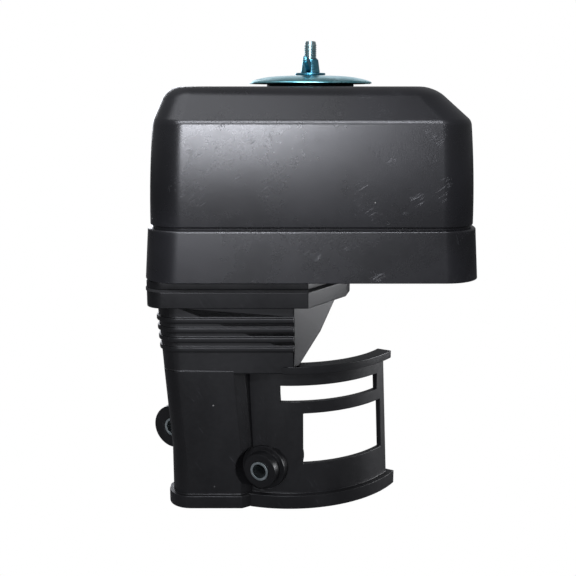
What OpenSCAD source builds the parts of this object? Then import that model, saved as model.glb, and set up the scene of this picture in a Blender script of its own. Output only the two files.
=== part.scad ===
// Air cleaner for a small horizontal-shaft engine, as an assembly of separate pieces.
// Millimetres. +X to the right of the front, +Y away from the front, +Z up.
// The origin is below the cover stud, in the plane of the elbow's bottom face.

/* [Cover] */
// Width of the skirt at its lower edge
skirt_w = 152; // [148:1:156]
// Depth of the skirt at its lower edge, front to back
skirt_d = 114; // [112:1:120]
// Height of the skirt's lower edge above the elbow's bottom face
skirt_z = 110.5; // [109.5:0.5:111]
// Height of the skirt
skirt_h = 23.5; // [22:0.5:25]
// Height of the crease where the upright walls end
crease_z = 181; // [179:0.5:184]
// Height of the flat top
cover_top_z = 196; // [195:0.5:197]
// Wall thickness of the moulded cover
cover_wall = 2.2; // [1.8:0.1:2.4]
// Radius of the cover's upright corners
corner_r = 15; // [12:0.5:17]

/* [Clamp] */
// Diameter of the stud, an M6 thread
stud_d = 6; // [6:0.1:6]
// Height of the stud's tip
stud_top_z = 217.4; // [216:0.2:219]
// Diameter of the domed clamp disc
disc_d = 59.5; // [56:0.5:62]
// Height of the disc's dome over its rim
dome_h = 3.5; // [3:0.1:4]
// Thickness of the disc's sheet
disc_t = 1.2; // [1:0.1:1.5]
// Span of the wing nut over its two wings
wing_span = 27; // [24:0.5:30]
// Angle that the wings are turned from front to back
wing_turn = 12; // [0:1:20]

/* [Filter element] */
// Width of the paper cartridge
paper_w = 100; // [94:1:102]
// Depth of the paper cartridge
paper_d = 72; // [68:1:74]
// Height of the paper between its end caps
paper_h = 50; // [44:1:52]
// Depth of one pleat
pleat_depth = 11; // [9:0.5:12]
// Number of pleats round the cartridge
pleats = 56; // [40:2:60]
// Thickness of the foam sleeve
foam_t = 7.5; // [6:0.5:8]

/* [Base tray] */
// Thickness of the tray's floor and rim
tray_wall = 2.4; // [2:0.1:2.6]
// Height of the top of the tray's floor
floor_z = 119.5; // [118:0.5:120]
// Height of the rim's top
rim_z = 131; // [130:0.5:131]

/* [Elbow] */
// Height of the elbow's top face
elbow_h = 105.3; // [104:0.1:106]
// Thickness of the elbow's top flange
flange_t = 7.6; // [6:0.1:8]
// Thickness of the elbow's bottom flange
base_t = 6.6; // [5:0.1:7]
// Wall thickness of the duct
duct_wall = 2.6; // [2.2:0.1:3]
// Number of ribs round the neck
neck_ribs = 4; // [3:1:4]
// Distance from one rib to the next
rib_pitch = 4.5; // [4.2:0.1:4.8]
// Turn of the outlet's axis from straight back
outlet_yaw = 25; // [22:1:28]
// Diameter of the outlet bore
outlet_d = 28; // [24:1:30]
// Sideways distance between the two carburettor studs
stud_span = 47; // [45:0.5:48]
// Height of the left stud above the right one
stud_rise = 14.5; // [13:0.5:16]

/* [Hidden] */

thin = 0.02;
clear = 0.3;
round_fn = 64;
corner_fn = 32;

// cover
skirt_top_inset = 1.5;
step_in = 1.1;
body_inset = 2.2;
chamfer_left = 9;
chamfer_right = 15.4;
chamfer_front = 13;
shoulder_drop = 3.6;
ledge_z = 133.6;
ledge_t = 2;
ledge_w = 3.6;
grommet_hole_r = 9;
grommet_h = 3.1;

// clamp
rim_gap = 1.8;
disc_rim_z = cover_top_z + rim_gap;
disc_top_z = disc_rim_z + dome_h;
disc_r = disc_d / 2;
dome_r = (disc_r * disc_r + dome_h * dome_h) / (2 * dome_h);
dome_steps = 14;
nut_z = disc_top_z + clear;
nut_hub_h = 6.4;
wing_top = 8.6;
wing_t = 2.6;
stud_r = stud_d / 2;
thread_gap = 0.05;
stud_bottom_z = 88;

// tray
rim_hx = 71.6;
rim_hy = 52.6;
foot_z = 106.5;
foot_floor = 2.4;
foot_in = 3.6;
inlet_x = 60.4;
inlet_w = 8;
inlet_len = 17;
inlet_spots = [-31.5, -10.5, 10.5, 31.5];
seal_h = 2.3;
seal_in = 1.15;
lock_nut_h = 5.4;

// element
cap_z = floor_z + clear;
cap_t = 2;
paper_z = cap_z + cap_t;
cap_top_z = paper_z + paper_h + cap_t;
screen_t = 1.2;
washer_t = 1.2;
element_nut_h = 7;
paper_corner = 16;
foam_gap = 0.6;

// elbow
neck_z = elbow_h - flange_t;
shelf_z = 68.6;
bend_z = 28;
duct_lean = 3;
front_y = -48.5;
flange_front_y = -51;
guard_x = -10;
guard_y = 10;
guard_r = 58.4;
guard_flare = 3.4;
guard_t = 2.6;
guard_start = 250;
guard_end = 327;
lip_z = 65.8;
lip_top_z = 69.5;
lip_r = 58.6;
base_r = 61;
slot_z = 51.5;
slot_top_z = 59.3;
slot_start = 265.4;
slot_end = 320;
window_z = 21.4;
window_top_z = 45.8;
window_start = 276.6;
window_end = 322.4;
base_w = 9;
plate_drop = 0.3;
rib_h = 2.3;
rib_out = 1.1;
first_rib = 6.2;
boss_x = -24.2;
boss_y = -51;
boss_z = 19.3;
boss_r = 8.3;
boss_base_r = 10.6;
scoop_r = 11.4;
scoop_s = 5;
well_r = 13.4;
stud_column_r = 7;
screw_boss_r = 5.4;
boss_len = 26;
collar_r = 4.6;
collar_bore_r = 3.4;
outlet_s = stud_span / 2;
outlet_t = 6;
outlet_gasket_t = 1;
screw_spots = [[-64, 8.4], [-24, 8.4]];
screw_r = 2.5;
screw_head_z = 112;
insert_r = 3.6;
insert_h = 7.4;
breather_x = -48;
breather_z = 84;
breather_boss_r = 8.4;
breather_seat_r = 6.4;
hose_r = 4.2;

// A flat rounded rectangle between two corners.
module outline(x0, x1, y0, y1, r, fn = corner_fn) {
    translate([x0 + r, y0]) square([x1 - x0 - 2 * r, y1 - y0]);
    translate([x0, y0 + r]) square([x1 - x0, y1 - y0 - 2 * r]);
    for (x = [x0 + r, x1 - r], y = [y0 + r, y1 - r])
        translate([x, y]) circle(r, $fn = fn);
}

// A rounded rectangle centred on the stud.
module centred(hx, hy, r, fn = corner_fn) {
    outline(-hx, hx, -hy, hy, r, fn);
}

// One thin slice of a lofted shape.
module slice(z) {
    translate([0, 0, z - thin / 2]) linear_extrude(thin) children();
}

// The cover's outside, or its inside when the walls are taken in.
module cover_form(wall) {
    hx = skirt_w / 2 - wall;
    hy = skirt_d / 2 - wall;
    bx = hx - skirt_top_inset - step_in;
    by = hy - skirt_top_inset - step_in;
    r = corner_r - wall;
    step_z = skirt_z + skirt_h;
    top_z = cover_top_z - wall;
    fold_z = crease_z - wall * 0.4;
    hull() {
        slice(wall > 0 ? skirt_z - 1 : skirt_z) centred(hx, hy, r);
        slice(step_z - (wall > 0 ? ledge_t : 0)) centred(hx - skirt_top_inset, hy - skirt_top_inset, r);
    }
    hull() {
        slice(step_z - 3) centred(bx, by, r);
        slice(fold_z) centred(bx - body_inset, by - body_inset, r);
    }
    hull() {
        slice(fold_z) centred(bx - body_inset, by - body_inset, r);
        slice(top_z - shoulder_drop)
            outline(-bx + body_inset + chamfer_left * 0.48, bx - body_inset - chamfer_right * 0.78,
                -by + body_inset + chamfer_front * 0.7, by - body_inset - chamfer_front * 0.7, r - 2);
        slice(top_z)
            outline(-bx + body_inset + chamfer_left, bx - body_inset - chamfer_right,
                -by + body_inset + chamfer_front, by - body_inset - chamfer_front, r - 3);
    }
}

module cover() {
    color("#232425") difference() {
        union() {
            difference() {
                cover_form(0);
                cover_form(cover_wall);
            }
            translate([0, 0, ledge_z]) linear_extrude(ledge_t) difference() {
                centred(rim_hx + 0.9, rim_hy + 0.9, 12.6);
                centred(rim_hx - ledge_w, rim_hy - ledge_w, 9);
            }
            translate([0, 0, cover_top_z - cover_wall - 1]) cylinder(r = 14, h = 2, $fn = round_fn);
        }
        translate([0, 0, cover_top_z - 8]) cylinder(r = grommet_hole_r, h = 16, $fn = round_fn);
    }
}

module cover_grommet() {
    color("#171717") rotate_extrude($fn = round_fn) polygon([
        [stud_r + 0.4, cover_top_z - 5], [12.5, cover_top_z - 5],
        [12.5, cover_top_z - cover_wall - 1], [grommet_hole_r, cover_top_z - cover_wall - 1],
        [grommet_hole_r, cover_top_z + thin], [21, cover_top_z + thin],
        [21, cover_top_z + 1.4], [12, cover_top_z + grommet_h],
        [stud_r + 0.4, cover_top_z + grommet_h]]);
}

// Height of the disc's outer face at a distance from its axis.
function dome_z(r) = disc_top_z - dome_r + sqrt(dome_r * dome_r - r * r);

module clamp_disc() {
    hole = stud_r + 0.3;
    radii = [for (i = [0:dome_steps]) hole + (disc_r - hole) * i / dome_steps];
    top = [for (r = radii) [r, dome_z(r)]];
    under = [for (i = [dome_steps:-1:0]) [radii[i], dome_z(radii[i]) - disc_t]];
    color("#8fb9bd") rotate_extrude($fn = 96) polygon(concat(top, under));
}

module wing(side) {
    tip = wing_span / 2;
    rotate([90, 0, 90]) translate([0, 0, -wing_t / 2]) linear_extrude(wing_t)
        polygon([[side * (stud_r + 0.4), nut_z + 1], [side * 5.4, nut_z + 1], [side * (tip - 2), nut_z + 4.4],
            [side * tip, nut_z + 6.2], [side * (tip - 1), nut_z + wing_top],
            [side * (tip - 4), nut_z + wing_top], [side * (stud_r + 0.4), nut_z + 6]]);
}

module wing_nut() {
    color("#a9c3c8") rotate([0, 0, -wing_turn]) difference() {
        union() {
            translate([0, 0, nut_z]) cylinder(r = 7.3, h = 1, $fn = round_fn);
            translate([0, 0, nut_z + 1]) cylinder(r1 = 5.6, r2 = 4.1, h = nut_hub_h, $fn = round_fn);
            wing(1);
            wing(-1);
        }
        translate([0, 0, nut_z - 1]) cylinder(r = stud_r + thread_gap, h = 14, $fn = round_fn);
    }
}

module cover_stud() {
    color("#c4cdd0") union() {
        translate([0, 0, stud_bottom_z])
            cylinder(r = stud_r, h = stud_top_z - stud_bottom_z - 0.8, $fn = round_fn);
        translate([0, 0, stud_top_z - 0.8]) cylinder(r1 = stud_r, r2 = stud_r - 0.8, h = 0.8, $fn = round_fn);
    }
}

module stud_lock_nut() {
    color("#b9bec2") difference() {
        union() {
            translate([0, 0, floor_z]) cylinder(r = 6.8, h = 1.2, $fn = round_fn);
            translate([0, 0, floor_z + 1.2]) cylinder(r = 5.77, h = lock_nut_h - 1.2, $fn = 6);
        }
        translate([0, 0, floor_z - 1]) cylinder(r = stud_r, h = lock_nut_h + 2, $fn = round_fn);
    }
}

module cover_seal() {
    color("#101010") translate([0, 0, rim_z]) linear_extrude(seal_h) difference() {
        centred(rim_hx - seal_in, rim_hy - seal_in, 12 - seal_in);
        centred(rim_hx - 3.2, rim_hy - 3.2, 8.8);
    }
}

module element_nut() {
    z = cap_top_z + washer_t + clear;
    color("#b9c4c6") difference() {
        union() {
            translate([0, 0, z]) cylinder(r = 6.5, h = 1.4, $fn = round_fn);
            translate([0, 0, z + 1.4]) cylinder(r1 = 5.4, r2 = 4.6, h = element_nut_h - 1.4, $fn = round_fn);
            for (side = [-1, 1]) translate([side * 8, 0, z + 5]) rotate([90, 0, 0])
                translate([0, 0, -1.2]) cylinder(r = 4.6, h = 2.4, $fn = round_fn);
        }
        translate([0, 0, z - 1]) cylinder(r = stud_r + thread_gap, h = element_nut_h + 6, $fn = round_fn);
    }
}

module element_washer() {
    color("#c9ced0") translate([0, 0, cap_top_z + clear / 2]) difference() {
        cylinder(r = 9, h = washer_t, $fn = round_fn);
        translate([0, 0, -1]) cylinder(r = stud_r + 0.4, h = washer_t + 2, $fn = round_fn);
    }
}

// End cap of the cartridge, moulded rubber over the pleats' ends.
module end_cap(z) {
    translate([0, 0, z]) linear_extrude(cap_t) centred(paper_w / 2, paper_d / 2, paper_corner, round_fn);
}

module element_top_cap() {
    color("#c9652c") difference() {
        end_cap(cap_top_z - cap_t);
        translate([0, 0, cap_top_z - cap_t - 1]) cylinder(r = stud_r + 0.5, h = cap_t + 2, $fn = round_fn);
    }
}

module element_bottom_cap() {
    color("#c9652c") difference() {
        end_cap(cap_z);
        translate([0, 0, cap_z - 1]) linear_extrude(cap_t + 2)
            centred(paper_w / 2 - pleat_depth - 4, paper_d / 2 - pleat_depth - 4, 7, round_fn);
    }
}

// A point on a rounded rectangle, by its angle round the four corners and straights.
function side_len(i) = i % 2 == 0 ? paper_w - 2 * paper_corner : paper_d - 2 * paper_corner;
function corner_len() = PI * paper_corner / 2;
function lap() = 2 * (side_len(0) + side_len(1)) + 4 * corner_len();
function side_start(i) = i == 0 ? 0 : side_start(i - 1) + side_len(i - 1) + corner_len();
function side_at(s, i = 3) = s >= side_start(i) ? i : side_at(s, i - 1);
function side_dir(i) = [cos(90 * i), sin(90 * i)];
function side_out(i) = [sin(90 * i), -cos(90 * i)];
function corner_at(i) = [(i == 0 || i == 1 ? 1 : -1) * (paper_w / 2 - paper_corner),
    (i == 1 || i == 2 ? 1 : -1) * (paper_d / 2 - paper_corner)];
function lap_point(s, off) = let (i = side_at(s), u = s - side_start(i))
    u <= side_len(i)
        ? corner_at(i) - side_dir(i) * (side_len(i) - u) + side_out(i) * (paper_corner + off)
        : let (a = 90 * i - 90 + 90 * (u - side_len(i)) / corner_len())
            corner_at(i) + [cos(a), sin(a)] * (paper_corner + off);

module pleated_paper() {
    step = lap() / (2 * pleats);
    sheet = 2.6;
    outer = [for (k = [0:2 * pleats - 1]) lap_point(k * step, k % 2 == 0 ? -0.4 : sheet - pleat_depth)];
    inner = [for (k = [0:2 * pleats - 1]) lap_point(k * step, k % 2 == 0 ? -0.4 - sheet : -pleat_depth)];
    color("#e4d6b4") translate([0, 0, paper_z]) linear_extrude(paper_h) difference() {
        polygon(outer);
        polygon(inner);
    }
}

module inner_screen() {
    hx = paper_w / 2 - pleat_depth - 0.3;
    hy = paper_d / 2 - pleat_depth - 0.3;
    color("#8a8d90") difference() {
        translate([0, 0, paper_z]) linear_extrude(paper_h) difference() {
            centred(hx, hy, 6, round_fn);
            centred(hx - screen_t, hy - screen_t, 6 - screen_t, round_fn);
        }
        for (z = [paper_z + 5:10:paper_z + paper_h - 8]) {
            for (x = [-hx + 11:11:hx - 10]) translate([x - 3.5, -hy - 5, z]) cube([7, 2 * hy + 10, 6]);
            for (y = [-hy + 11:11:hy - 10]) translate([-hx - 5, y - 3.5, z]) cube([2 * hx + 10, 7, 6]);
        }
    }
}

module foam_sleeve() {
    hx = paper_w / 2 + foam_gap;
    hy = paper_d / 2 + foam_gap;
    color("#2b2c2e") translate([0, 0, cap_z + 1]) linear_extrude(paper_h + 2) difference() {
        centred(hx + foam_t, hy + foam_t, paper_corner + foam_t, round_fn);
        centred(hx, hy, paper_corner, round_fn);
    }
}

// Plan of the elbow's top flange, which the tray's foot and the gasket share.
module flange_plan() {
    polygon([[-67.5, flange_front_y], [-1.6, flange_front_y], [17, -25.6], [19.6, -14], [19.6, 6], [11.6, 14],
        [-67.5, 14], [-75.5, 6], [-75.5, flange_front_y + 8]]);
    translate([-67.5, flange_front_y + 8]) circle(8, $fn = round_fn);
    translate([-67.5, 6]) circle(8, $fn = round_fn);
    translate([11.6, 6]) circle(8, $fn = round_fn);
}

// Plan of the neck at the top, inside which the air comes down.
module neck_plan(wall = 0) {
    w = wall;
    polygon([[-61.5, front_y + 1 + w], [-8 - w * 0.6, front_y + 1 + w], [13.3 - w * 1.3, -20 + w * 0.4],
        [8 - w * 1.2, -13.5 - w * 0.2], [-12 - w * 0.6, 4 - w], [-63.5, 4 - w], [-71.5 + w, -4],
        [-71.5 + w, front_y + 11]]);
    translate([-61.5, front_y + 11]) circle(10 - w, $fn = corner_fn);
}

// Plan of the neck where it ends on the shelf behind the guard's lip.
module shelf_plan(wall = 0) {
    w = wall;
    polygon([[-59.5, front_y + w], [-8 - w, front_y + w], [-8 - w, front_y + 5 + w], [-26, -10 - w],
        [-56, -6 - w], [-69 + w, -16], [-69 + w, front_y + 9.5]]);
    translate([-59.5, front_y + 9.5]) circle(9.5 - w, $fn = corner_fn);
}

// Plan of the duct below the shelf, with its back turned to the outlet's axis.
module duct_plan(wall = 0) {
    w = wall;
    polygon([[-57, front_y + w], [-33 - w, front_y + w], [-28 - w, front_y + 3.4 + w * 0.6],
        [-18.5 - w, -25.5 - w * 0.3], [-52 + w * 0.3, -9.8 - w], [-66 + w, -36], [-66 + w, front_y + 9]]);
    translate([-57, front_y + 9]) circle(9 - w, $fn = corner_fn);
}

// The duct's outside, or its inside when the walls are taken in.
module duct_form(wall) {
    over = wall > 0 ? 1 : 0;
    hull() {
        translate([0, 0, neck_z]) linear_extrude(flange_t * over + over + 0.5) neck_plan(wall);
        translate([3 - wall, -33 + wall, 82]) cube(1.4);
        translate([0, 0, lip_z + 0.4 + wall]) linear_extrude(0.5) shelf_plan(wall);
    }
    hull() {
        translate([-duct_lean, 0, shelf_z - 2]) linear_extrude(1 + 3 * over) duct_plan(wall);
        translate([0, 0, bend_z]) linear_extrude(1) duct_plan(wall);
    }
    hull() {
        translate([0, 0, bend_z]) linear_extrude(1) duct_plan(wall);
        translate([0, 0, (base_t - 0.6) * over]) linear_extrude(1) duct_plan(wall);
    }
}

// Places its children at the right stud, turned so that +Z runs along the outlet's axis.
module at_outlet(along, sideways = 0, up = 0) {
    translate([boss_x, boss_y, boss_z + up]) rotate([0, 0, -outlet_yaw])
        translate([-sideways, along, 0]) rotate([-90, 0, 0]) children();
}

// A round bar along the outlet's axis.
module outlet_bar(r, from, to, sideways = 0, up = 0) {
    at_outlet(from, sideways, up) cylinder(r = r, h = to - from, $fn = round_fn);
}

// A ring sector of the guard, turned about the guard's upright axis.
module guard_ring(points, from, to) {
    translate([guard_x, guard_y, 0]) rotate([0, 0, from])
        rotate_extrude(angle = to - from, $fn = 128) polygon(points);
}

// Radius of the guard's panel at a height.
function panel_r(z) = guard_r - guard_flare * z / lip_top_z;

// A window through the guard between two heights and two angles.
module guard_window(bottom, top, from, to) {
    guard_ring([[40, bottom], [70, bottom], [70, top], [40, top]], from, to);
}

module guard_form() {
    inner_lip_r = panel_r(lip_z) - guard_t - 1.4;
    difference() {
        guard_ring([[panel_r(0) - guard_t, 0.1], [panel_r(0), 0.1], [panel_r(lip_z + 1), lip_z + 1],
            [panel_r(lip_z + 1) - guard_t, lip_z + 1]], guard_start, guard_end);
        guard_window(slot_z, slot_top_z, slot_start, slot_end);
        guard_window(window_z, window_top_z, window_start, window_end);
    }
    guard_ring([[inner_lip_r, lip_z], [lip_r, lip_z], [lip_r, lip_top_z], [inner_lip_r, lip_top_z]],
        guard_start, guard_end + 1.5);
    guard_ring([[base_r - base_w, 0], [base_r, 0], [base_r, base_t], [base_r - base_w, base_t]],
        guard_start, guard_end + 3);
}

// One rib round the front and the left of the neck, where the neck has come down by a drop.
module neck_rib(drop) {
    x0 = -71.5 + drop * 0.09 - rib_out;
    y0 = front_y + 1 - drop * 0.036 - rib_out;
    translate([0, 0, neck_z - drop - rib_h / 2]) linear_extrude(rib_h) {
        polygon([[x0 + 11, y0], [-8.1, y0], [-8.1, -14], [x0, -14], [x0, y0 + 11]]);
        translate([x0 + 11, y0 + 11]) circle(11, $fn = round_fn);
    }
}

// Plan of the plate that carries the outlet and both studs, seen along the axis.
module outlet_plan(hole) {
    difference() {
        union() {
            circle(boss_base_r + 0.4, $fn = round_fn);
            translate([-stud_span, -stud_rise]) circle(boss_base_r + 0.4, $fn = round_fn);
            translate([-outlet_s, -stud_rise / 2]) circle(18.6, $fn = round_fn);
            polygon([[2, boss_base_r - 0.5], [-outlet_s, 18 - stud_rise / 2],
                [-stud_span, boss_base_r - stud_rise], [-stud_span, -boss_base_r - stud_rise],
                [-outlet_s, -18 - stud_rise / 2], [0, -boss_base_r]]);
        }
        circle(hole, $fn = round_fn);
        translate([-stud_span, -stud_rise]) circle(hole, $fn = round_fn);
        translate([-outlet_s, -stud_rise / 2]) circle(outlet_d / 2, $fn = round_fn);
    }
}

// The flange under the duct.
module base_plate() {
    linear_extrude(base_t - plate_drop) offset(r = 2, $fn = corner_fn) duct_plan();
}

// The elbow's outside without the bosses of its outlet.
module elbow_shell() {
    duct_form(0);
    translate([0, 0, neck_z]) linear_extrude(flange_t) flange_plan();
    for (k = [0:neck_ribs - 1]) neck_rib(first_rib + k * rib_pitch);
    base_plate();
    translate([0, 0, stud_bottom_z - 2]) cylinder(r = stud_column_r, h = elbow_h - stud_bottom_z + 2, $fn = round_fn);
    for (spot = screw_spots) translate([spot[0], spot[1], neck_z - 6])
        cylinder(r = screw_boss_r, h = 7, $fn = round_fn);
    translate([breather_x, -12, breather_z]) rotate([-90, 0, 0]) cylinder(r = breather_boss_r, h = 22, $fn = round_fn);
}

// Bores for the stud, the threaded inserts, the breather and the outlet.
module elbow_bores() {
    translate([0, 0, stud_bottom_z]) cylinder(r = stud_r, h = 40, $fn = round_fn);
    for (spot = screw_spots) translate([spot[0], spot[1], elbow_h - insert_h])
        cylinder(r = insert_r, h = 20, $fn = round_fn);
    for (spot = screw_spots) translate([spot[0], spot[1], neck_z - 4])
        cylinder(r = screw_r + 0.3, h = 20, $fn = round_fn);
    translate([breather_x, -16, breather_z]) rotate([-90, 0, 0]) cylinder(r = breather_seat_r, h = 40, $fn = round_fn);
    outlet_bar(outlet_d / 2, boss_len - 12, boss_len + 1, outlet_s, stud_rise / 2);
    outlet_bar(collar_r, -1, boss_len + 1);
    outlet_bar(collar_r, -1, boss_len + 1, stud_span, stud_rise);
}

module elbow() {
    color("#1f2022") difference() {
        union() {
            difference() {
                union() {
                    difference() {
                        elbow_shell();
                        duct_form(duct_wall);
                    }
                    intersection() {
                        outlet_bar(well_r, -4, boss_len);
                        translate([0, 0, 1]) linear_extrude(boss_z + 20) offset(delta = -0.2) duct_plan();
                    }
                }
                outlet_bar(scoop_r, -20, scoop_s);
            }
            outlet_bar(boss_r, 0, boss_len);
            outlet_bar(boss_base_r, scoop_s, boss_len);
            outlet_bar(boss_base_r, 0, boss_len, stud_span, stud_rise);
            at_outlet(boss_len - outlet_t) linear_extrude(outlet_t) outlet_plan(collar_r);
        }
        elbow_bores();
    }
}

// The slotted guard beside the duct, in one moulding with the elbow.
module guard() {
    color("#1f2022") difference() {
        guard_form();
        duct_form(0);
        base_plate();
        outlet_bar(scoop_r, -20, scoop_s);
        outlet_bar(boss_base_r, scoop_s - 1, boss_len);
        at_outlet(boss_len - outlet_t) linear_extrude(outlet_t) outlet_plan(collar_r);
    }
}

// Steel sleeve in a boss, which takes the nut's pressure.
module collar(sideways, up) {
    color("#c3c9cc") at_outlet(-0.5, sideways, up) difference() {
        cylinder(r = collar_r, h = boss_len + 0.5, $fn = round_fn);
        translate([0, 0, -1]) cylinder(r = collar_bore_r, h = boss_len + 3, $fn = round_fn);
    }
}

module left_collar() {
    collar(stud_span, stud_rise);
}

module right_collar() {
    collar(0, 0);
}

module outlet_gasket() {
    color("#3d3a36") at_outlet(boss_len) linear_extrude(outlet_gasket_t) outlet_plan(collar_bore_r + 0.3);
}

module breather_grommet() {
    color("#141414") translate([breather_x, 0, breather_z]) rotate([-90, 0, 0]) difference() {
        union() {
            translate([0, 0, 2]) cylinder(r = breather_seat_r, h = 8, $fn = round_fn);
            translate([0, 0, 10]) cylinder(r = 8.2, h = 2, $fn = round_fn);
        }
        cylinder(r = hose_r, h = 20, $fn = round_fn);
    }
}

module tray_gasket() {
    color("#0e0e0e") translate([0, 0, elbow_h]) linear_extrude(foot_z - elbow_h) difference() {
        offset(r = 0.4, $fn = corner_fn) flange_plan();
        neck_plan(duct_wall);
        circle(stud_r + 0.3, $fn = round_fn);
        for (spot = screw_spots) translate(spot) circle(screw_r + 0.3, $fn = round_fn);
    }
}

// Hollow under the tray's floor, which brings clean air from the element to the elbow.
module plenum() {
    difference() {
        translate([0, 0, foot_z + foot_floor]) linear_extrude(floor_z - tray_wall - foot_z - foot_floor)
            offset(delta = -foot_in - tray_wall) flange_plan();
        cylinder(r = 6.6, h = floor_z, $fn = round_fn);
        for (spot = screw_spots) translate(spot) cylinder(r = screw_boss_r, h = floor_z, $fn = round_fn);
    }
    translate([0, 0, foot_z - 1]) linear_extrude(foot_floor + 2) neck_plan(duct_wall);
    difference() {
        translate([0, 0, floor_z - tray_wall - 1]) linear_extrude(tray_wall + 2) outline(-35, 10, -21, 7, 6);
        cylinder(r = 7.4, h = floor_z + 2, $fn = round_fn);
    }
}

module base_tray() {
    color("#1c1d1f") difference() {
        union() {
            translate([0, 0, floor_z - tray_wall]) linear_extrude(tray_wall) centred(rim_hx, rim_hy, 12);
            translate([0, 0, floor_z - tray_wall]) linear_extrude(rim_z - floor_z + tray_wall) difference() {
                centred(rim_hx, rim_hy, 12);
                centred(rim_hx - tray_wall, rim_hy - tray_wall, 12 - tray_wall);
            }
            translate([0, 0, foot_z]) linear_extrude(skirt_z - 0.5 - foot_z) flange_plan();
            translate([0, 0, foot_z]) linear_extrude(floor_z - foot_z - 1)
                offset(delta = -foot_in) flange_plan();
            for (spot = screw_spots) translate([spot[0], spot[1], foot_z])
                cylinder(r = screw_boss_r, h = floor_z - foot_z, $fn = round_fn);
            for (y = [-30:20:30]) translate([24, y - 1, floor_z - 6]) cube([34, 2, 4]);
        }
        plenum();
        translate([0, 0, foot_z - 1]) cylinder(r = stud_r + 0.1, h = 30, $fn = round_fn);
        for (spot = screw_spots) translate([spot[0], spot[1], foot_z - 1])
            cylinder(r = screw_r + 0.3, h = 30, $fn = round_fn);
        for (spot = screw_spots) translate([spot[0], spot[1], screw_head_z])
            cylinder(r = 4.9, h = 30, $fn = round_fn);
        for (y = inlet_spots) translate([inlet_x, y - inlet_len / 2, floor_z - 20])
            cube([inlet_w, inlet_len, 30]);
    }
}

module tray_screws() {
    color("#aab0b3") for (spot = screw_spots) translate(spot) difference() {
        union() {
            translate([0, 0, neck_z - 2]) cylinder(r = screw_r, h = screw_head_z - neck_z + 2.5, $fn = round_fn);
            translate([0, 0, screw_head_z]) cylinder(r = 4.4, h = 3, $fn = round_fn);
        }
        translate([0, 0, screw_head_z + 1.2]) for (a = [0, 90]) rotate([0, 0, a])
            translate([-2.6, -0.5, 0]) cube([5.2, 1, 4]);
    }
}

module threaded_inserts() {
    color("#b89a55") for (spot = screw_spots) translate([spot[0], spot[1], elbow_h - insert_h]) difference() {
        cylinder(r = insert_r, h = insert_h, $fn = round_fn);
        translate([0, 0, -1]) cylinder(r = screw_r, h = insert_h + 2, $fn = round_fn);
    }
}

cover();
cover_grommet();
clamp_disc();
wing_nut();
cover_stud();
stud_lock_nut();
cover_seal();
element_nut();
element_washer();
element_top_cap();
element_bottom_cap();
pleated_paper();
inner_screen();
foam_sleeve();
base_tray();
tray_gasket();
tray_screws();
threaded_inserts();
elbow();
guard();
left_collar();
right_collar();
outlet_gasket();
breather_grommet();
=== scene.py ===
import math

import bmesh
import bpy
from mathutils import Matrix, Vector


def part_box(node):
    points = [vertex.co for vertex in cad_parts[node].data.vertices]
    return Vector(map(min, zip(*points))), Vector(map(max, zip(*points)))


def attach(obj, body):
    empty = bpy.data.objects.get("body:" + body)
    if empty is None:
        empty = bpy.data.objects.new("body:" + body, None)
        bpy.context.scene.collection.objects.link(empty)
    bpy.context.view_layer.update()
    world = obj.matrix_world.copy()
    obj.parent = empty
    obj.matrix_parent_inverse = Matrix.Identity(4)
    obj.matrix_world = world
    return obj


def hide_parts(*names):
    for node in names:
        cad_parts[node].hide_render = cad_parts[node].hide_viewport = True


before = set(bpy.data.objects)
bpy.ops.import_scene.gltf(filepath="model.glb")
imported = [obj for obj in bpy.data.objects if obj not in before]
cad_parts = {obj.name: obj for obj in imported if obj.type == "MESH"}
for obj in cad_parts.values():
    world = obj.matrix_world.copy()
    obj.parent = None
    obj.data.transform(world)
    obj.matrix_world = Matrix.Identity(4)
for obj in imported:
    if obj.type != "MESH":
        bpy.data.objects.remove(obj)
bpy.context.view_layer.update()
MM = 0.001


# ---------------------------------------------------------------- small tools

def linear(code):
    """An sRGB hex colour as linear red, green, blue and alpha."""
    parts = [int(code[i:i + 2], 16) / 255 for i in (1, 3, 5)]
    return tuple(c / 12.92 if c <= 0.04045 else ((c + 0.055) / 1.055) ** 2.4 for c in parts) + (1.0,)


def only(piece):
    """Leaves one piece selected and active."""
    bpy.ops.object.select_all(action="DESELECT")
    piece.select_set(True)
    bpy.context.view_layer.objects.active = piece
    return piece


def begin(name):
    """Names the primitive just added and opens it for editing, in vertex select mode."""
    piece = bpy.context.object
    piece.name = piece.data.name = name
    only(piece)
    bpy.ops.object.mode_set(mode="EDIT")
    bpy.ops.mesh.select_mode(type="VERT")
    return piece


def choose(mode, test):
    """Selects the vertices, edges or faces that pass a test, and nothing else."""
    bpy.ops.mesh.select_mode(type=mode)
    bpy.ops.mesh.select_all(action="DESELECT")
    mesh = bmesh.from_edit_mesh(bpy.context.object.data)
    for part in {"VERT": mesh.verts, "EDGE": mesh.edges, "FACE": mesh.faces}[mode]:
        if test(part):
            part.select_set(True)
    mesh.select_flush_mode()
    bmesh.update_edit_mesh(bpy.context.object.data)


def level(edge, z, near=0.02):
    """Does an edge lie flat at a height in millimetres?"""
    return all(abs(v.co.z - z * MM) < near * MM for v in edge.verts)


def move(x=0.0, y=0.0, z=0.0):
    bpy.ops.transform.translate(value=(x * MM, y * MM, z * MM))


def grow(x, y, z, centre=(0, 0, 0)):
    bpy.ops.transform.resize(value=(x, y, z), center_override=centre)


def outward():
    """Merges doubles and turns every face outwards."""
    bpy.ops.mesh.select_all(action="SELECT")
    bpy.ops.mesh.remove_doubles(threshold=0.002 * MM)
    bpy.ops.mesh.normals_make_consistent(inside=False)


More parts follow.
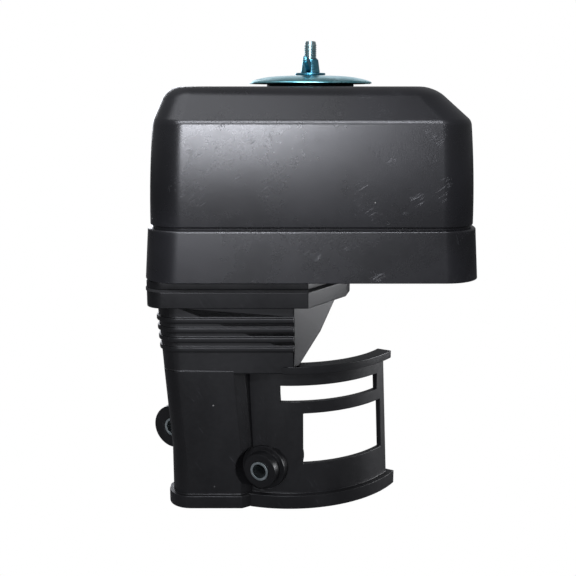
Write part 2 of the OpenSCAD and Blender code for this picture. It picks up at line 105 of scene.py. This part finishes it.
def modify(piece, kind, **settings):
    """Adds a modifier and applies it."""
    only(piece)
    change = piece.modifiers.new(kind.title(), kind)
    for key, value in settings.items():
        setattr(change, key, value)
    bpy.ops.object.modifier_apply(modifier=change.name)


def settle(piece):
    """Puts a piece's place, turn and scale into its mesh."""
    only(piece)
    bpy.ops.object.transform_apply(location=True, rotation=True, scale=True)


def joined(name, pieces):
    """Several pieces made one."""
    bpy.ops.object.select_all(action="DESELECT")
    for piece in pieces:
        piece.select_set(True)
    bpy.context.view_layer.objects.active = pieces[0]
    bpy.ops.object.join()
    pieces[0].name = pieces[0].data.name = name
    return pieces[0]


def finish(piece, body, nodes, finish_of, angle=32):
    """Shades a piece, gives it its material, and ties it to the frame."""
    settle(piece)
    bpy.ops.object.shade_smooth_by_angle(angle=math.radians(angle))
    modify(piece, "WEIGHTED_NORMAL", keep_sharp=True)
    piece.data.materials.clear()
    piece.data.materials.append(finish_of)
    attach(piece, body)
    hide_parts(*nodes)
    return piece


# ---------------------------------------------------------------- materials

def add(tree, kind, settings=None, sockets=None):
    """Adds a node with its settings; a socket's value may be a number, a colour or another node's output."""
    node = tree.nodes.new(kind)
    for key, value in (settings or {}).items():
        setattr(node, key, value)
    for key, value in (sockets or {}).items():
        if isinstance(value, bpy.types.NodeSocket):
            tree.links.new(value, node.inputs[key])
        else:
            node.inputs[key].default_value = value
    return node


def start(name, **shader):
    """A new material, with its node tree, its shader and its Object coordinates."""
    material = bpy.data.materials.new(name)
    material.use_nodes = True
    tree = material.node_tree
    tree.nodes.clear()
    bsdf = add(tree, "ShaderNodeBsdfPrincipled", None, shader)
    add(tree, "ShaderNodeOutputMaterial", None, {"Surface": bsdf.outputs[0]})
    where = add(tree, "ShaderNodeTexCoord").outputs["Object"]
    return material, tree, bsdf, where


def noise(tree, where, size, detail=2.0, rough=0.5, stretch=None):
    """Noise whose lumps are about size millimetres across, stretched if asked."""
    if stretch:
        where = add(tree, "ShaderNodeMapping", None, {"Vector": where, "Scale": stretch}).outputs[0]
    return add(tree, "ShaderNodeTexNoise", None,
               {"Vector": where, "Scale": 1 / (size * MM), "Detail": detail, "Roughness": rough}).outputs[0]


def spread(tree, value, low, high, to_low, to_high):
    """Takes a value from one range to another and keeps it inside."""
    return add(tree, "ShaderNodeMapRange", None,
               {0: value, 1: low, 2: high, 3: to_low, 4: to_high}).outputs[0]


def blend(tree, share, first, second):
    """A colour between two, by a share."""
    mixer = add(tree, "ShaderNodeMix", {"data_type": "RGBA"})
    for index, value in ((0, share), (6, first), (7, second)):
        if isinstance(value, bpy.types.NodeSocket):
            tree.links.new(value, mixer.inputs[index])
        else:
            mixer.inputs[index].default_value = value
    return mixer.outputs[2]


def times(tree, a, b, kind="MULTIPLY"):
    return add(tree, "ShaderNodeMath", {"operation": kind}, {0: a, 1: b}).outputs[0]


def wire(tree, value, bsdf, socket):
    tree.links.new(value, bsdf.inputs[socket])


def raise_skin(tree, bsdf, layers):
    """Adds bumps to a shader, each of a height in millimetres."""
    normal = None
    for height, amount in layers:
        sockets = {"Height": height, "Distance": amount * MM, "Strength": 1.0}
        if normal:
            sockets["Normal"] = normal
        normal = add(tree, "ShaderNodeBump", None, sockets).outputs[0]
    wire(tree, normal, bsdf, "Normal")


def scratches(tree, where, turn, size, keep):
    """Thin straight lines, a few of them, turned by an angle."""
    turned = add(tree, "ShaderNodeMapping", None,
                 {"Vector": where, "Rotation": (0.0, math.radians(turn), 0.0)}).outputs[0]
    fine = noise(tree, turned, size, 1.0, 0.4, (1.0, 1.0, 0.03))
    patches = noise(tree, turned, size * 12, 1.0)
    off_middle = times(tree, times(tree, fine, 0.5, "SUBTRACT"), 0.0, "ABSOLUTE")
    line = spread(tree, off_middle, 0.0, 0.012, 1.0, 0.0)
    return times(tree, line, spread(tree, patches, keep, keep + 0.05, 0.0, 1.0))


def dust(tree, where, size, share):
    """Small specks in a few of the cells of a pattern."""
    cells = add(tree, "ShaderNodeTexVoronoi", None,
                {"Vector": where, "Scale": 1 / (size * MM), "Randomness": 1.0})
    speck = spread(tree, cells.outputs["Distance"], 0.03, 0.07, 1.0, 0.0)
    chance = add(tree, "ShaderNodeSeparateColor", None, {0: cells.outputs["Color"]}).outputs[0]
    return times(tree, speck, spread(tree, chance, 1 - share, 1 - share + 0.01, 0.0, 1.0))


def cover_plastic():
    """Black polypropylene moulded in a spark-eroded mould: a fine satin grain that carries a broad grey sheen,
    with a few scuffs, scratches and specks of dust."""
    material, tree, bsdf, where = start(
        "moulded_polypropylene_satin", IOR=1.49, **{"Specular IOR Level": 0.5})
    cloud = noise(tree, where, 34, 3.0)
    mottle = noise(tree, where, 3.2, 3.0, 0.6)
    grain = noise(tree, where, 0.55, 2.0, 0.6)  # the real grain is about 0.2 mm; drawn coarser so that it shows
    scuff = times(tree, scratches(tree, where, 24, 0.9, 0.64), scratches(tree, where, -58, 1.1, 0.62),
                  "MAXIMUM")
    speck = dust(tree, where, 5.5, 0.05)
    base = blend(tree, spread(tree, cloud, 0.35, 0.65, 0.0, 1.0), linear("#101012"), linear("#161619"))
    base = blend(tree, times(tree, scuff, 0.35), base, linear("#4c4c50"))
    base = blend(tree, times(tree, speck, 0.8), base, linear("#b9b7b2"))
    wire(tree, base, bsdf, "Base Color")
    rough = times(tree, spread(tree, cloud, 0.3, 0.7, 0.26, 0.3),
                  spread(tree, mottle, 0.3, 0.7, -0.008, 0.008), "ADD")
    rough = times(tree, rough, times(tree, scuff, 0.1), "ADD")
    wire(tree, rough, bsdf, "Roughness")
    raise_skin(tree, bsdf, [(mottle, 0.002), (grain, 0.022), (scuff, -0.02)])
    return material


def tray_plastic(name, dark, light, level, low, high):
    """Black nylon moulded in a polished mould: darker and smoother than the cover, with faint flow marks and
    rubbed spots."""
    material, tree, bsdf, where = start(name, IOR=1.5, **{"Specular IOR Level": level})
    flow = noise(tree, where, 26, 4.0, 0.55, (1.0, 1.0, 0.45))
    mottle = noise(tree, where, 2.4, 3.0, 0.6)
    grain = noise(tree, where, 0.5, 2.0, 0.6)  # drawn a little coarser than the real grain so that it shows
    scuff = scratches(tree, where, 35, 1.0, 0.6)
    base = blend(tree, spread(tree, flow, 0.35, 0.65, 0.0, 1.0), linear(dark), linear(light))
    base = blend(tree, times(tree, scuff, 0.3), base, linear("#404043"))
    base = blend(tree, times(tree, dust(tree, where, 6.5, 0.03), 0.6), base, linear("#8d8c89"))
    wire(tree, base, bsdf, "Base Color")
    wire(tree, times(tree, spread(tree, flow, 0.3, 0.7, low, high),
                     spread(tree, mottle, 0.3, 0.7, -0.03, 0.03), "ADD"), bsdf, "Roughness")
    raise_skin(tree, bsdf, [(flow, 0.05), (mottle, 0.015), (grain, 0.006)])
    return material


def blue_zinc(name, dark, light):
    """Steel sheet with zinc plate and a blue passivated film: a soft metal shine in teal, paler where the film
    is thin, with fine rolling marks."""
    material, tree, bsdf, where = start(name, Metallic=1.0, Anisotropic=0.2)
    film = noise(tree, where, 9, 3.0, 0.6)
    spots = noise(tree, where, 1.6, 3.0, 0.7)
    rolled = noise(tree, where, 0.7, 2.0, 0.6, (0.06, 1.0, 1.0))
    tint = blend(tree, spread(tree, film, 0.35, 0.65, 0.0, 1.0), linear(dark), linear(light))
    tint = blend(tree, times(tree, spread(tree, spots, 0.56, 0.72, 0.0, 1.0), 0.35), tint, linear("#b9c9d2"))
    wire(tree, tint, bsdf, "Base Color")
    wire(tree, spread(tree, rolled, 0.3, 0.7, 0.24, 0.38), bsdf, "Roughness")
    raise_skin(tree, bsdf, [(rolled, 0.006), (spots, 0.01)])
    return material


def zinc_steel(name, dark, light):
    """Turned steel with bright zinc plate: cool grey metal, uneven in shine from turning marks and handling."""
    material, tree, bsdf, where = start(name, Metallic=1.0)
    film = noise(tree, where, 4, 3.0, 0.6)
    turned = noise(tree, where, 0.4, 2.0, 0.6, (1.0, 1.0, 4.0))
    wire(tree, blend(tree, spread(tree, film, 0.35, 0.65, 0.0, 1.0), linear(dark), linear(light)), bsdf,
         "Base Color")
    wire(tree, spread(tree, turned, 0.3, 0.7, 0.22, 0.4), bsdf, "Roughness")
    raise_skin(tree, bsdf, [(turned, 0.005), (film, 0.01)])
    return material


def rubber(name, dark, light, low, high):
    """Moulded rubber: a dull skin with a little bloom and fine pores."""
    material, tree, bsdf, where = start(name, IOR=1.52, **{"Specular IOR Level": 0.35})
    bloom = noise(tree, where, 7, 4.0, 0.6)
    pores = noise(tree, where, 0.6, 2.0, 0.7)
    wire(tree, blend(tree, spread(tree, bloom, 0.35, 0.65, 0.0, 1.0), linear(dark), linear(light)), bsdf,
         "Base Color")
    wire(tree, spread(tree, pores, 0.3, 0.7, low, high), bsdf, "Roughness")
    raise_skin(tree, bsdf, [(pores, 0.02), (bloom, 0.04)])
    return material


def filter_paper():
    """Resin-treated paper in deep pleats: warm cream, matte and fibrous, darker where resin has soaked in."""
    material, tree, bsdf, where = start("pleated_resin_paper", IOR=1.45, **{"Specular IOR Level": 0.25})
    soak = noise(tree, where, 12, 3.0)
    fibre = noise(tree, where, 0.5, 3.0, 0.7, (1.0, 1.0, 0.25))
    tint = blend(tree, spread(tree, soak, 0.35, 0.65, 0.0, 1.0), linear("#d9c79c"), linear("#e8dcbc"))
    wire(tree, blend(tree, spread(tree, fibre, 0.5, 0.75, 0.0, 0.4), tint, linear("#b89f6c")), bsdf,
         "Base Color")
    wire(tree, spread(tree, fibre, 0.3, 0.7, 0.75, 0.92), bsdf, "Roughness")
    raise_skin(tree, bsdf, [(fibre, 0.03)])
    return material


def foam_cells():
    """Open-cell polyurethane foam, dark grey: pores of about 1 mm, with matte struts; the pores are painted
    near-black as painted shade, and the struts are painted lighter as a painted highlight.
    """
    material, tree, bsdf, where = start("open_cell_foam", IOR=1.45, **{"Specular IOR Level": 0.25})
    cells = add(tree, "ShaderNodeTexVoronoi", {"feature": "DISTANCE_TO_EDGE"},
                {"Vector": where, "Scale": 1 / (1.3 * MM)})
    strut_with_painted_shade = spread(tree, cells.outputs[0], 0.02, 0.22, 1.0, 0.0)
    soft = noise(tree, where, 9, 3.0)
    # painted shade and painted highlight: pore centres get near-black for the shade in the holes, struts a lighter
    # grey for the light on them
    tint = blend(tree, strut_with_painted_shade, linear("#0c0c0d"), linear("#3b3c40"))
    wire(tree, blend(tree, spread(tree, soft, 0.35, 0.65, 0.0, 0.35), tint, linear("#212226")), bsdf,
         "Base Color")
    wire(tree, spread(tree, strut_with_painted_shade, 0.0, 1.0, 0.95, 0.7), bsdf, "Roughness")
    raise_skin(tree, bsdf, [(strut_with_painted_shade, 0.35), (soft, 0.3)])
    return material


def gasket_fibre():
    """Pressed fibre sheet: dull grey-brown, flecked with short fibres."""
    material, tree, bsdf, where = start("pressed_fibre_sheet", IOR=1.45, **{"Specular IOR Level": 0.2})
    fleck = noise(tree, where, 0.8, 3.0, 0.7)
    wire(tree, blend(tree, spread(tree, fleck, 0.4, 0.65, 0.0, 1.0), linear("#3a3733"), linear("#5b564e")),
         bsdf, "Base Color")
    wire(tree, spread(tree, fleck, 0.3, 0.7, 0.75, 0.9), bsdf, "Roughness")
    raise_skin(tree, bsdf, [(fleck, 0.02)])
    return material


COVER = cover_plastic()
TRAY = tray_plastic("moulded_nylon_tray", "#0d0d0e", "#131314", 0.32, 0.3, 0.38)
ELBOW = tray_plastic("moulded_nylon_elbow", "#0d0d0e", "#121213", 0.28, 0.34, 0.42)
ZINC_BLUE = blue_zinc("zinc_plate_blue_disc", "#5aa6b0", "#93c9d0")
NUT_BLUE = blue_zinc("zinc_plate_blue_nut", "#3c7c94", "#6aa9ba")
ZINC = zinc_steel("zinc_plate_bright", "#98a4a6", "#c3cccd")
STUD = zinc_steel("zinc_plate_stud", "#7fa3ab", "#b9cfd1")
BRASS = zinc_steel("turned_brass", "#a1813c", "#cbab63")
SCREEN = zinc_steel("perforated_steel_sheet", "#85898c", "#a3a7a9")
RUBBER = rubber("nitrile_rubber", "#111111", "#1b1b1c", 0.5, 0.65)
SEAL = rubber("closed_cell_seal", "#161616", "#202021", 0.75, 0.9)
CAP = rubber("cast_polyurethane_orange", "#a8481c", "#c65f2b", 0.38, 0.5)
PAPER = filter_paper()
FOAM = foam_cells()
FIBRE = gasket_fibre()


# ---------------------------------------------------------------- cover

SKIRT_Z, SKIRT_TOP_Z, GROOVE_Z, BODY_Z, CREASE_Z, TOP_Z = 110.5, 133.6, 134.0, 135.0, 181.0, 196.0
SKIRT_X, SKIRT_Y, CORNER = 76.0, 57.0, 16.5
GROOVE_X, GROOVE_Y = 72.2, 53.2
BODY_X, BODY_Y = 73.4, 54.4
DRAFT = 1.5  # how far the skirt leans in by its top
LEAN, LEAN_STEPS, LEAN_POWER = 2.2, 8, 1.9
TOP_LEFT, TOP_RIGHT, TOP_Y = 65.5, 55.4, 40.2
WALL, GROMMET_HOLE_R = 2.2, 9


def rounded_sheet(name, hx, hy, corner, z, segments=12):
    """A flat rounded rectangle, still open for editing, with its face selected."""
    bpy.ops.mesh.primitive_plane_add(size=2)
    piece = begin(name)
    bpy.ops.mesh.select_all(action="SELECT")
    grow(hx * MM, hy * MM, 1)
    move(z=z)
    bpy.ops.mesh.bevel(offset=corner * MM, segments=segments, affect="VERTICES")
    bpy.ops.mesh.select_mode(type="FACE")
    bpy.ops.mesh.select_all(action="SELECT")
    return piece


def cover_shell():
    """The moulded box: skirt, fine groove, walls that bow in to a crease, then a sloping shoulder."""
    piece = rounded_sheet("cover_shell", SKIRT_X, SKIRT_Y, CORNER, SKIRT_Z)
    rings = [(SKIRT_X - DRAFT, SKIRT_Y - DRAFT, SKIRT_TOP_Z), (GROOVE_X, GROOVE_Y, GROOVE_Z),
             (GROOVE_X, GROOVE_Y, BODY_Z - 0.4)]
    for step in range(LEAN_STEPS + 1):
        share = step / LEAN_STEPS
        lean = LEAN * share ** LEAN_POWER
        rings.append((BODY_X - lean, BODY_Y - lean, BODY_Z + (CREASE_Z - BODY_Z) * share))
    hx, hy, z = SKIRT_X, SKIRT_Y, SKIRT_Z
    for x, y, up in rings:
        bpy.ops.mesh.extrude_region_move(TRANSFORM_OT_translate={"value": (0, 0, (up - z) * MM)})
        grow(x / hx, y / hy, 1)
        hx, hy, z = x, y, up
    bpy.ops.mesh.extrude_region_move(TRANSFORM_OT_translate={"value": (0, 0, (TOP_Z - z) * MM)})
    grow((TOP_LEFT + TOP_RIGHT) / (2 * hx), TOP_Y / hy, 1)
    move(x=(TOP_RIGHT - TOP_LEFT) / 2)
    # rounded edges, from the wide one of the top to the fine ones of the groove
    for height, width, steps in [(TOP_Z, 6.0, 6), (CREASE_Z, 1.6, 4), (BODY_Z, 0.5, 3), (SKIRT_TOP_Z, 0.7, 3)]:
        choose("EDGE", lambda e: level(e, height))
        bpy.ops.mesh.bevel(offset=width * MM, segments=steps, affect="EDGES")
    outward()
    bpy.ops.object.mode_set(mode="OBJECT")
    modify(piece, "SOLIDIFY", thickness=WALL * MM, offset=-1, use_even_offset=False)
    # the hole for the grommet
    bpy.ops.mesh.primitive_cylinder_add(vertices=64, radius=GROMMET_HOLE_R * MM, depth=8 * MM,
                                        location=(0, 0, TOP_Z * MM))
    punch = bpy.context.object
    settle(punch)
    modify(piece, "BOOLEAN", operation="DIFFERENCE", object=punch, solver="EXACT")
    bpy.data.objects.remove(punch)
    modify(piece, "BEVEL", width=0.35 * MM, segments=2, limit_method="ANGLE", angle_limit=math.radians(70),
           use_clamp_overlap=False)
    ledge = rounded_sheet("cover_ledge", 72.4, 53.4, 15.0, 133.7)
    bpy.ops.mesh.inset(thickness=4.4 * MM)
    bpy.ops.mesh.delete(type="FACE")
    bpy.ops.object.mode_set(mode="OBJECT")
    modify(ledge, "SOLIDIFY", thickness=1.9 * MM, offset=1)
    collar = round_tube("cover_boss", 14, 9.05, TOP_Z - 3.1, TOP_Z - 1.9)
    return joined("cover_shell", [piece, ledge, collar])


def round_tube(name, outside, inside, bottom, top, sides=64, edge=0.25):
    """A short tube with rounded rims: a ring of faces extruded up."""
    bpy.ops.mesh.primitive_circle_add(vertices=sides, radius=outside * MM, fill_type="NGON")
    piece = begin(name)
    bpy.ops.mesh.select_all(action="SELECT")
    move(z=bottom)
    bpy.ops.mesh.inset(thickness=(outside - inside) * MM)
    bpy.ops.mesh.delete(type="FACE")
    bpy.ops.mesh.select_all(action="SELECT")
    bpy.ops.mesh.extrude_region_move(TRANSFORM_OT_translate={"value": (0, 0, (top - bottom) * MM)})
    outward()
    bpy.ops.object.mode_set(mode="OBJECT")
    modify(piece, "BEVEL", width=edge * MM, segments=2, limit_method="ANGLE", angle_limit=math.radians(50))
    return piece


# ---------------------------------------------------------------- clamp and stud

DISC_TOP, DOME, DOME_POWER, DISC_R, HOLE_R, SHEET = 201.3, 3.0, 4.0, 29.75, 3.3, 1.2
NUT_Z, STUD_TIP, STUD_FOOT = 201.6, 217.4, 88.0


def clamp_disc():
    """The domed disc, drawn out ring by ring from its hole, with its rim curled down a little."""
    def height(r):
        return DISC_TOP - DOME * (r / DISC_R) ** DOME_POWER

    bpy.ops.mesh.primitive_circle_add(vertices=96, radius=HOLE_R * MM, fill_type="NOTHING",
                                      location=(0, 0, height(HOLE_R) * MM))
    piece = begin("clamp_disc_domed")
    bpy.ops.mesh.select_all(action="SELECT")
    radius = HOLE_R
    for step in range(1, 15):
        wider = HOLE_R + (DISC_R - 0.5 - HOLE_R) * step / 14
        bpy.ops.mesh.extrude_region_move(
            TRANSFORM_OT_translate={"value": (0, 0, (height(wider) - height(radius)) * MM)})
        grow(wider / radius, wider / radius, 1)
        radius = wider
    for out, down in ((0.3, 0.3), (0.15, 0.45)):
        bpy.ops.mesh.extrude_region_move(TRANSFORM_OT_translate={"value": (0, 0, -down * MM)})
        grow((radius + out) / radius, (radius + out) / radius, 1)
        radius += out
    outward()
    choose("FACE", lambda f: f.normal.z < 0)
    bpy.ops.mesh.flip_normals()
    bpy.ops.object.mode_set(mode="OBJECT")
    modify(piece, "SOLIDIFY", thickness=(SHEET - 0.1) * MM, offset=-1)
    modify(piece, "BEVEL", width=0.25 * MM, segments=2, limit_method="ANGLE", angle_limit=math.radians(50))
    return piece


def wing_nut():
    """A pressed wing nut: round foot, tapered hub, and two wings drawn out of it and rounded over."""
    foot = round_tube("nut_foot", 7.3, 3.05, NUT_Z, NUT_Z + 1, edge=0.3)
    hub = round_tube("nut_hub", 4.6, 3.05, NUT_Z + 1, NUT_Z + 7.4, edge=0.5)
    only(hub)
    bpy.ops.object.mode_set(mode="EDIT")
    choose("VERT", lambda v: v.co.z > (NUT_Z + 6) * MM and math.hypot(v.co.x, v.co.y) > 3.6 * MM)
    grow(0.84, 0.84, 1)
    bpy.ops.object.mode_set(mode="OBJECT")
    parts = [foot, hub]
    for side in (1, -1):
        bpy.ops.mesh.primitive_cube_add(size=1, location=(0, side * 4.1 * MM, (NUT_Z + 3.6) * MM))
        bpy.context.object.scale = (2.4 * MM, 1.4 * MM, 5.2 * MM)
        settle(bpy.context.object)
        wing = begin("nut_wing")
        height, centre, thick = 5.2, 3.6, 2.4
        choose("FACE", lambda f: f.normal.y * side > 0.9)
        for out, low, high, wide in ((1.6, 1.6, 6.9, 2.4), (2.6, 3.2, 8.1, 2.3), (2.0, 4.3, 8.6, 2.3),
                                     (1.5, 5.2, 8.5, 2.2), (0.9, 6.0, 8.0, 1.9)):
            bpy.ops.mesh.extrude_region_move(
                TRANSFORM_OT_translate={"value": (0, side * out * MM, ((low + high) / 2 - centre) * MM)})
            centre = (low + high) / 2
            grow(wide / thick, 1, (high - low) / height, (0, 0, (NUT_Z + centre) * MM))
            height, thick = high - low, wide
        outward()
        bpy.ops.object.mode_set(mode="OBJECT")
        modify(wing, "BEVEL", width=0.55 * MM, segments=3, limit_method="ANGLE", angle_limit=math.radians(30))
        parts.append(wing)
    nut = joined("wing_nut_pressed", parts)
    nut.rotation_euler.z = math.radians(-12)
    return nut


def cover_stud():
    """A long stud with a rolled M6 thread: a core with a pointed tip, and the ridge wound round it."""
    length = STUD_TIP - STUD_FOOT
    bpy.ops.mesh.primitive_cylinder_add(vertices=48, radius=2.62 * MM, depth=length * MM,
                                        location=(0, 0, (STUD_FOOT + length / 2) * MM))
    core = begin("stud_core")
    choose("EDGE", lambda e: level(e, STUD_TIP - (STUD_FOOT + STUD_TIP) / 2, 0.1)
           or level(e, STUD_FOOT - (STUD_FOOT + STUD_TIP) / 2, 0.1))
    bpy.ops.mesh.bevel(offset=0.7 * MM, segments=2, affect="EDGES")
    bpy.ops.object.mode_set(mode="OBJECT")
    settle(core)
    bpy.ops.mesh.primitive_plane_add(size=1, location=(2.77 * MM, 0, (STUD_FOOT + 1.6) * MM),
                                     rotation=(math.radians(90), 0, 0))
    bpy.context.object.scale = (0.44 * MM, 0.86 * MM, 1)
    settle(bpy.context.object)
    ridge = begin("stud_thread")
    choose("VERT", lambda v: v.co.x > 2.8 * MM)
    grow(1, 1, 0.18, (0, 0, (STUD_FOOT + 1.6) * MM))
    bpy.ops.object.mode_set(mode="OBJECT")
    modify(ridge, "SCREW", axis="Z", angle=math.tau, screw_offset=1.0 * MM, iterations=int(length - 3.4),
           steps=24, render_steps=24, use_merge_vertices=False)
    only(ridge)
    bpy.ops.object.mode_set(mode="EDIT")
    choose("EDGE", lambda e: len(e.link_faces) == 1)
    bpy.ops.mesh.edge_face_add()
    outward()
    bpy.ops.object.mode_set(mode="OBJECT")
    return joined("cover_stud_threaded", [core, ridge])


# ---------------------------------------------------------------- pieces taken from the frame

def rounds_well(edge, width, angle):
    """Is an edge sharp, and are the faces beside it wide enough to take a rounding?"""
    if len(edge.link_faces) != 2 or edge.calc_face_angle(0) < math.radians(angle):
        return False
    start, along = edge.verts[0].co, (edge.verts[1].co - edge.verts[0].co).normalized()
    return all(max((v.co - start).cross(along).length for v in face.verts) > 2.4 * width * MM
               for face in edge.link_faces)


def softened(node, name, width, angle=28, flat=0.8, segments=2):
    """A copy of a node's mesh, merged, with its flat faces made whole and its edges rounded."""
    bpy.ops.object.select_all(action="DESELECT")
    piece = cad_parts[node].copy()
    piece.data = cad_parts[node].data.copy()
    for key in list(piece.keys()):
        del piece[key]
    piece.parent = None
    piece.matrix_world = Matrix.Identity(4)
    bpy.context.scene.collection.objects.link(piece)
    piece.name = piece.data.name = name
    only(piece)
    bpy.ops.object.mode_set(mode="EDIT")
    bpy.ops.mesh.select_all(action="SELECT")
    bpy.ops.mesh.remove_doubles(threshold=0.004 * MM)
    bpy.ops.mesh.dissolve_limited(angle_limit=math.radians(flat))
    choose("EDGE", lambda e: rounds_well(e, width, angle))
    bpy.ops.mesh.bevel(offset=width * MM, segments=segments, affect="EDGES", clamp_overlap=False)
    bpy.ops.object.mode_set(mode="OBJECT")
    # where a rounding runs past the end of a short edge, it is pulled back into the node's own box
    low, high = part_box(node)
    for vertex in piece.data.vertices:
        vertex.co = [min(max(vertex.co[i], low[i]), high[i]) for i in range(3)]
    return piece


def foam_sleeve():
    """The foam pre-filter: a soft band round the paper, rounded at its rims and a little uneven."""
    low, high = (v / MM for v in (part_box("foam_sleeve")[0].z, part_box("foam_sleeve")[1].z))
    piece = rounded_sheet("foam_sleeve_soft", 57.6, 43.6, 23, low + 0.3, 14)
    bpy.ops.mesh.inset(thickness=6.6 * MM)
    bpy.ops.mesh.delete(type="FACE")
    bpy.ops.mesh.select_all(action="SELECT")
    bpy.ops.mesh.extrude_region_move(TRANSFORM_OT_translate={"value": (0, 0, (high - low - 0.6) * MM)})
    outward()
    bpy.ops.mesh.select_all(action="SELECT")
    bpy.ops.mesh.subdivide(number_cuts=5)
    bpy.ops.object.mode_set(mode="OBJECT")
    modify(piece, "BEVEL", width=2.0 * MM, segments=3, limit_method="ANGLE", angle_limit=math.radians(60))
    lumps = bpy.data.textures.new("foam_lumps", "CLOUDS")
    lumps.noise_scale = 14 * MM
    modify(piece, "DISPLACE", texture=lumps, strength=0.8 * MM, mid_level=0.5, texture_coords="LOCAL")
    return piece


finish(cover_shell(), "cover", ["cover"], COVER, 28)
disc = finish(clamp_disc(), "clamp_disc", ["clamp_disc"], ZINC_BLUE)
nut = finish(wing_nut(), "wing_nut", ["wing_nut"], NUT_BLUE)
finish(cover_stud(), "root", ["cover_stud"], STUD)
elbow = finish(softened("elbow", "elbow_moulded", 0.45), "root", ["elbow"], ELBOW)
guard = finish(softened("guard", "guard_moulded", 0.3), "root", ["guard"], ELBOW)
tray = finish(softened("base_tray", "base_tray_moulded", 0.4), "root", ["base_tray"], TRAY)
sleeve = finish(foam_sleeve(), "foam_sleeve", ["foam_sleeve"], FOAM, 60)
for node, name, width, body, slot, surface in [
        ("cover_grommet", "cover_grommet_rubber", 0.5, "cover", "rubber", RUBBER),
        ("stud_lock_nut", "stud_lock_nut_hex", 0.35, "root", "zinc_steel", ZINC),
        ("cover_seal", "cover_seal_strip", 0.6, "root", "rubber", SEAL),
        ("element_nut", "element_nut_winged", 0.35, "element_nut", "zinc_steel", ZINC),
        ("element_washer", "element_washer_flat", 0.25, "element_washer", "zinc_steel", ZINC),
        ("element_top_cap", "element_top_cap_cast", 0.6, "element", "end_cap_rubber", CAP),
        ("element_bottom_cap", "element_bottom_cap_cast", 0.6, "element", "end_cap_rubber", CAP),
        ("left_collar", "left_collar_turned", 0.3, "root", "zinc_steel", ZINC),
        ("right_collar", "right_collar_turned", 0.3, "root", "zinc_steel", ZINC),
        ("breather_grommet", "breather_grommet_rubber", 0.4, "root", "rubber", RUBBER)]:
    finish(softened(node, name, width), body, [node], surface)
# the nodes whose shape is right keep it, and get a better material
for node, surface in [("pleated_paper", PAPER), ("inner_screen", SCREEN), ("tray_gasket", SEAL),
                      ("tray_screws", ZINC), ("threaded_inserts", BRASS), ("outlet_gasket", FIBRE)]:
    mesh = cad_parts[node].data
    if not mesh.materials:
        mesh.materials.append(surface)
    for index in range(len(mesh.materials)):
        mesh.materials[index] = surface


# ---------------------------------------------------------------- stage, lights and camera

def area_light(name, place, aim, width, height, watts, colour, lights_only=()):
    """A soft panel that faces a point, and may light a few pieces only."""
    bpy.ops.object.light_add(type="AREA", location=place)
    lamp = bpy.context.object
    lamp.name = name
    lamp.data.shape = "RECTANGLE"
    lamp.data.size, lamp.data.size_y = width, height
    lamp.data.energy = watts
    lamp.data.color = linear(colour)[:3]
    lamp.rotation_euler = (Vector(aim) - Vector(place)).to_track_quat("-Z", "Y").to_euler()
    if lights_only:
        lamp.light_linking.receiver_collection = bpy.data.collections.new(name + "_lights")
        for piece in lights_only:
            lamp.light_linking.receiver_collection.objects.link(piece)
    return lamp


bpy.ops.object.select_all(action="DESELECT")
bpy.ops.mesh.primitive_plane_add(size=40, location=(0, 0, 0))
floor = bpy.context.object
floor.name = "studio_floor"
paper_white, tree, bsdf, where = start("matte_paper_floor", Roughness=0.9)
bsdf.inputs["Specular IOR Level"].default_value = 0.1
bsdf.inputs["Base Color"].default_value = linear("#6a6a6a")
glow = add(tree, "ShaderNodeEmission", None, {"Color": (1, 1, 1, 1), "Strength": 1.0})
seen = add(tree, "ShaderNodeLightPath").outputs["Is Camera Ray"]
both = add(tree, "ShaderNodeMixShader", None, {0: seen, 1: bsdf.outputs[0], 2: glow.outputs[0]})
tree.links.new(both.outputs[0], tree.nodes["Material Output"].inputs["Surface"])
floor.data.materials.append(paper_white)

aim = (0.0, 0.0, 0.13)
area_light("key_panel", (-0.16, -1.3, 0.42), (0.0, 0.0, 0.17), 0.34, 0.18, 11.5, "#f4f6ff")
area_light("brow_panel", (-0.1, -0.85, 0.86), (0.0, 0.0, 0.18), 0.8, 0.1, 9.0, "#f4f6ff")
area_light("top_panel", (-0.35, -0.25, 1.25), aim, 0.9, 0.7, 5.0, "#f6f8ff")
area_light("rear_panel", (-0.5, 1.3, 0.4), (0.0, 0.0, 0.1), 0.6, 0.5, 5.0, "#f6f8ff")
area_light("side_panel", (0.8, 0.1, 0.1), (0.0, 0.0, 0.08), 0.6, 0.3, 10.0, "#fafbff", (elbow, guard, tray))
area_light("back_panel", (-0.1, 0.9, 0.42), (0.0, 0.0, 0.2), 0.9, 0.4, 1.1, "#f6f8ff", (disc, nut))

world = bpy.data.worlds.new("pale_room")
bpy.context.scene.world = world
world.use_nodes = True
sky = world.node_tree
sky.nodes.clear()
seen = add(sky, "ShaderNodeBackground", None, {"Color": (1, 1, 1, 1), "Strength": 1.0})
lit = add(sky, "ShaderNodeBackground", None, {"Color": linear("#f4f6fa"), "Strength": 0.26})
path = add(sky, "ShaderNodeLightPath")
both = add(sky, "ShaderNodeMixShader", None,
           {0: path.outputs["Is Camera Ray"], 1: lit.outputs[0], 2: seen.outputs[0]})
add(sky, "ShaderNodeOutputWorld", None, {"Surface": both.outputs[0]})

bpy.ops.object.camera_add(location=(-0.01075, -0.4467, 0.1922), rotation=(math.radians(90 - 12.1), 0, 0))
camera = bpy.context.object
camera.data.lens = 56.25
camera.data.sensor_width = 36
camera.data.clip_start = 0.01  # metres; the object is close
bpy.context.scene.camera = camera
bpy.context.scene.view_settings.view_transform = "Standard"
